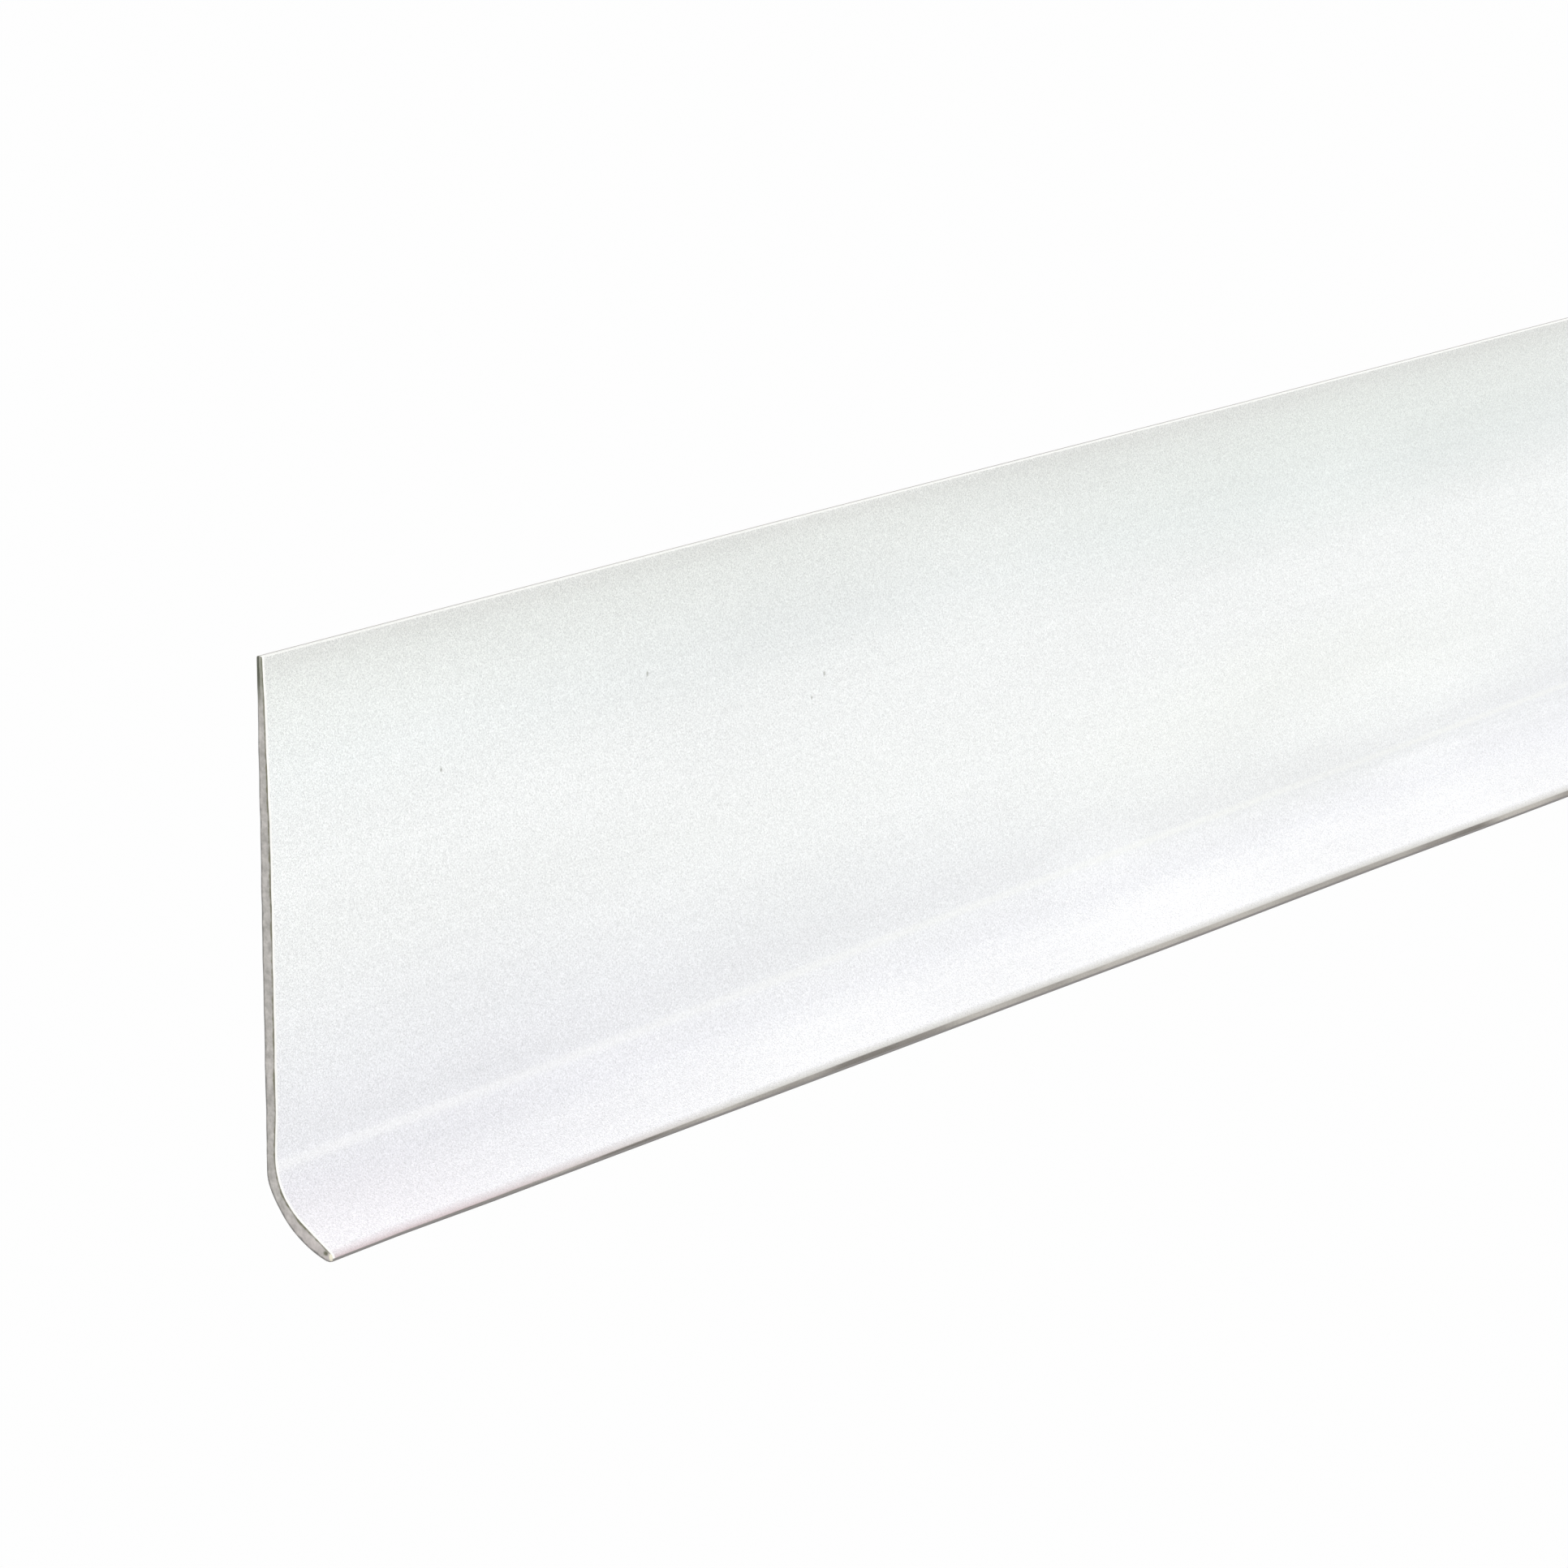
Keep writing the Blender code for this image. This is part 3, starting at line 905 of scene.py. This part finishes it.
def wave_strip(bm):
    """Gives the strip its unevenness: a rippled front, a wavier toe, and ends cut by hand."""
    through = bm.verts.layers.float["through"]
    lip_height = FLEX_Z - TOE_Z
    web_height = TOP_Z - FLEX_Z
    for vert in bm.verts:
        x, z = vert.co.xz
        along = x - LEFT_END
        free = min(1.0, max(0.0, (FLEX_Z - z) / lip_height))
        on_front = vert[through] if free == 0 else 1.0
        near_top = min(1.0, (TOP_Z - z) / FRONT_RIPPLE_FADE)
        lift = on_front * near_top * FRONT_RIPPLE * ripple(x, z, FRONT_RIPPLE_SIZE, 3.7)
        lift += free * LIP_WAVE * ripple(x, 0, LIP_WAVE_SIZE, 8.1)
        vert.co.y -= lift
        vert.co.z += free * TOE_WAVE * ripple(x, 0, TOE_WAVE_SIZE, 5.3)
        vert.co.z -= free * TOE_SAG * min(1.0, along / TOE_SAG_LENGTH)
        near_lift = max(0.0, 1 - abs(along - TOE_LIFT_PLACE) / TOE_LIFT_REACH)
        vert.co.z += free * TOE_LIFT * near_lift
        high = max(0.0, (z - FLEX_Z) / web_height)
        vert.co.z -= high * TOP_SAG * min(1.0, max(0.0, along / TOP_SAG_LENGTH - 1))
        if min(along, RIGHT_END - x) < MM:
            vert.co.x += CUT_WOBBLE * noise.noise(Vector((x, 0, z / CUT_WOBBLE_SIZE)))


def faces_end(face):
    return abs(face.normal.x) > END_FACING


def cut_perimeter(bm):
    """The edges between the end faces and the long faces."""
    return [e for e in bm.edges if len({faces_end(face) for face in e.link_faces}) == 2]


def note_rest_place(bm):
    """Keeps each point's place before the piece is made uneven, for its patterns to follow."""
    rest = bm.verts.layers.float_vector.new("rest_place")
    for vert in bm.verts:
        vert[rest] = vert.co


def finish_mesh(bm, name, materials):
    """Turns a bmesh into an object at the origin, smooth but for its corners."""
    bmesh.ops.recalc_face_normals(bm, faces=bm.faces)
    mesh = bpy.data.meshes.new(name)
    bm.to_mesh(mesh)
    bm.free()
    mesh.shade_smooth()
    mesh.set_sharp_from_angle(angle=math.radians(SHARP_ANGLE))
    for material in materials:
        mesh.materials.append(material)
    piece = bpy.data.objects.new(name, mesh)
    bpy.context.scene.collection.objects.link(piece)
    return piece


def draw_along(bm, length, cuts, end_bevel=0.0):
    """Draws a flat section out along the strip, rounds its end edges and divides its length."""
    grown = bmesh.ops.extrude_face_region(bm, geom=bm.faces[:])["geom"]
    moved = [g for g in grown if isinstance(g, bmesh.types.BMVert)]
    bmesh.ops.translate(bm, verts=moved, vec=(length, 0, 0))
    bmesh.ops.recalc_face_normals(bm, faces=bm.faces)
    if end_bevel:
        rim = cut_perimeter(bm)
        bmesh.ops.bevel(
            bm,
            geom=rim,
            offset=end_bevel,
            segments=CUT_EDGE_SEGMENTS,
            profile=0.5,
            affect="EDGES",
            material=-1,
        )
    long_edges = [e for e in bm.edges if abs(e.verts[0].co.x - e.verts[1].co.x) > length / 2]
    bmesh.ops.subdivide_edges(bm, edges=long_edges, cuts=cuts, use_grid_fill=True)
    bm.normal_update()


def make_vinyl_strip():
    """The whole extrusion in one piece: white front, grey back, and core at its cut ends."""
    stations = section_stations()
    last = len(stations) - 1
    bm = bmesh.new()
    through = bm.verts.layers.float.new("through")
    bmesh.ops.create_grid(bm, x_segments=last, y_segments=2, size=0.5)
    corners = []
    for vert in bm.verts:
        row = round((vert.co.x + 0.5) * last)
        vert[through] = vert.co.y + 0.5
        place = stations[row][0].lerp(stations[row][1], vert[through])
        if row in (0, last) and vert[through] != 0.5:
            tip_trim = TIP_FRONT_TRIM if vert[through] > 0.5 else TIP_FOOT_TRIM
            corners.append((vert, tip_trim if row == last else TOP_CORNER_TRIM))
        vert.co = (LEFT_END, place.x, place.y)
    for vert, trim in corners:
        bmesh.ops.bevel(
            bm,
            geom=[vert],
            offset=trim,
            segments=CORNER_SEGMENTS,
            profile=0.5,
            affect="VERTICES",
            material=-1,
        )
    draw_along(bm, STRIP_LENGTH, LENGTH_CUTS, CUT_EDGE_BEVEL)

    for face in bm.faces:
        depth_share = sum(v[through] for v in face.verts) / len(face.verts)
        if faces_end(face):
            face.material_index = 1
        elif depth_share < BACK_SHARE:
            face.material_index = 2
    note_rest_place(bm)
    wave_strip(bm)
    strip = finish_mesh(bm, "vinyl_strip", [make_white_vinyl(), make_cut_core(), make_back_core()])
    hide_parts("carrier_web", "sweep_lip")
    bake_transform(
        strip,
        "web",
        "lip",
        start=(0, hinge.y, FLEX_Z + FLEX_BEND_HALF),
        end=(0, hinge.y, FLEX_Z - FLEX_BEND_HALF),
    )


# ---------------------------------------------------------------- tapes and their liners


def band_section(low, high, depths, rows):
    """A section at a band's left end, at some depths from its wall side and rows up its width."""
    bm = bmesh.new()
    bmesh.ops.create_grid(bm, x_segments=len(depths) - 1, y_segments=rows, size=0.5)
    for vert in bm.verts:
        column = round((vert.co.x + 0.5) * (len(depths) - 1))
        vert.co = (low.x, high.y - depths[column], low.z + (high.z - low.z) * (vert.co.y + 0.5))
    return bm


def make_tape(name, node, liner_node, materials):
    """Double-sided foam tape: adhesive film on both faces, and slit foam edges that sink in."""
    low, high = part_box(node)
    liner_low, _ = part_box(liner_node)
    outer = Vector((high.x, liner_low.y, high.z))
    thickness = liner_low.y - BACK_Y
    foam = thickness - 2 * FILM_THICKNESS
    rows = [FILM_THICKNESS + foam * i / FOAM_ROWS for i in range(FOAM_ROWS + 1)]
    depths = [0.0, *rows, thickness]
    bm = band_section(low, outer, depths, TAPE_ROWS)
    draw_along(bm, high.x - low.x, TAPE_CUTS)
    note_rest_place(bm)
    middle = (low.z + high.z) / 2
    half_width = (high.z - low.z) / 2
    for face in bm.faces:
        centre = face.calc_center_median()
        in_film = min(outer.y - centre.y, centre.y - BACK_Y) < FILM_THICKNESS
        face.material_index = 1 if in_film else 0
    for vert in bm.verts:
        x, y, z = vert.co
        inside = min(outer.y - y, y - BACK_Y)
        sunk = FOAM_SINK * min(1.0, max(0.0, inside / FILM_THICKNESS - 1))
        there = Vector((x / SLIT_WANDER_LENGTH, y / SLIT_WANDER_DEPTH, z))
        drawn_in = SLIT_GAP + sunk + SLIT_WANDER * noise.noise(there)
        if abs(z - middle) > half_width - ON_EDGE:
            vert.co.z -= math.copysign(drawn_in, z - middle)
        elif min(x - low.x, high.x - x) < ON_EDGE:
            vert.co.x -= math.copysign(drawn_in, x)
    tape = finish_mesh(bm, name, materials)
    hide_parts(node)
    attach(tape, "web")


def make_liner(name, node, body, seed, materials):
    """Paper strip over the tape: flat on it, faintly cockled, with one corner that has let go."""
    low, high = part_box(node)
    bm = band_section(low, high, [0.0, high.y - low.y], LINER_ROWS)
    draw_along(bm, high.x - low.x, LINER_CUTS)
    note_rest_place(bm)
    for face in bm.faces:
        face.material_index = 1 if face.normal.y < RELEASE_FACING else 0
    for vert in bm.verts:
        x, z = vert.co.xz
        there = Vector((x / COCKLE_LENGTH, seed, z / COCKLE_WIDTH))
        cockle = 0.5 + 0.5 * noise.noise(there)
        edge = min(z - low.z, high.z - z) / (high.z - low.z)
        vert.co.y += COCKLE_HEIGHT * cockle * (1 - edge)
        from_corner = ((high.x - x) + (high.z - z)) / LOOSE_CORNER_REACH
        vert.co.y += LOOSE_CORNER_LIFT * max(0.0, 1 - from_corner) ** 2
        vert.co.z += LINER_WANDER * noise.noise(Vector((x / LINER_WANDER_LENGTH, seed, 0)))
    liner = finish_mesh(bm, name, materials)
    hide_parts(node)
    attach(liner, body)


tape_materials = [make_foam(), make_adhesive()]
liner_materials = [
    make_paper(
        "liner_paper_outside",
        dark=(0.70, 0.62, 0.47, 1.0),
        light=(0.80, 0.73, 0.59, 1.0),
        roughness=(0.44, 0.60),
    ),
    make_paper(
        "liner_paper_release",
        dark=(0.74, 0.68, 0.54, 1.0),
        light=(0.83, 0.78, 0.66, 1.0),
        roughness=(0.20, 0.34),
    ),
]

make_vinyl_strip()
for level, seed in (("upper", 2.3), ("lower", 6.9)):
    liner_node = f"release_liner_{level}"
    make_tape(f"foam_tape_{level}", f"adhesive_tape_{level}", liner_node, tape_materials)
    make_liner(f"paper_liner_{level}", liner_node, f"liner_{level}", seed, liner_materials)


# ---------------------------------------------------------------- stage, lights and camera


def show_camera(tree, lit, plain, output_kind):
    """Sends one shader to the camera's own rays and another to all the rest of the light."""
    seen = add_node(tree, "ShaderNodeLightPath")
    mix = add_node(tree, "ShaderNodeMixShader")
    feed(tree, mix, 0, seen.outputs["Is Camera Ray"])
    feed(tree, mix, 1, lit.outputs[0])
    feed(tree, mix, 2, plain.outputs[0])
    output = next(n for n in tree.nodes if n.type == output_kind)
    feed(tree, output, "Surface", mix.outputs[0])


def make_floor():
    """A plain pale floor under the strip, low enough for the lip to bend down."""
    bpy.ops.mesh.primitive_plane_add(size=FLOOR_SIZE, location=(0, 0, TOE_Z - FLOOR_DROP))
    floor = bpy.context.active_object
    floor.name = "studio_floor"
    material, tree, shader = new_material("pale_floor")
    shader.inputs["Base Color"].default_value = FLOOR_GREY
    shader.inputs["Roughness"].default_value = FLOOR_ROUGHNESS
    plain = add_node(tree, "ShaderNodeEmission")
    plain.inputs["Color"].default_value = STAGE_WHITE
    show_camera(tree, shader, plain, "OUTPUT_MATERIAL")
    floor.data.materials.append(material)


def make_world():
    """Even white light from all round, and the floor's white behind everything."""
    world = bpy.data.worlds.new("studio_air")
    bpy.context.scene.world = world
    world.use_nodes = True
    tree = world.node_tree
    room = tree.nodes["Background"]
    room.inputs["Color"].default_value = (1.0, 1.0, 1.0, 1.0)
    room.inputs["Strength"].default_value = ROOM_STRENGTH
    plain = add_node(tree, "ShaderNodeBackground")
    plain.inputs["Color"].default_value = STAGE_WHITE
    show_camera(tree, room, plain, "OUTPUT_WORLD")


def add_soft_box(name, towards, power):
    """A large square light that shines on the strip's left half from a direction."""
    light = bpy.data.lights.new(name, "AREA")
    light.shape = "SQUARE"
    light.size = LIGHT_SIZE
    light.energy = power
    lamp = bpy.data.objects.new(name, light)
    direction = Vector(towards).normalized()
    lamp.location = LIGHT_TARGET + direction * LIGHT_DISTANCE
    lamp.rotation_euler = direction.to_track_quat("Z", "Y").to_euler()
    lamp.visible_camera = False
    bpy.context.scene.collection.objects.link(lamp)


def make_camera():
    data = bpy.data.cameras.new("studio_camera")
    data.sensor_width = 36.0
    data.lens = LENS
    data.clip_start = 0.05
    data.clip_end = 200
    camera = bpy.data.objects.new("studio_camera", data)
    turn = CAMERA_FORWARD.to_track_quat("-Z", "Y").to_matrix()
    turn = turn @ Matrix.Rotation(math.radians(CAMERA_ROLL), 3, "Z")
    camera.matrix_world = Matrix.Translation(CAMERA_PLACE) @ turn.to_4x4()
    bpy.context.scene.collection.objects.link(camera)
    bpy.context.scene.camera = camera


make_floor()
make_world()
for box_name, (box_towards, box_power) in SOFT_BOXES.items():
    add_soft_box(box_name, box_towards, box_power)
make_camera()
bpy.context.scene.view_settings.view_transform = "Standard"
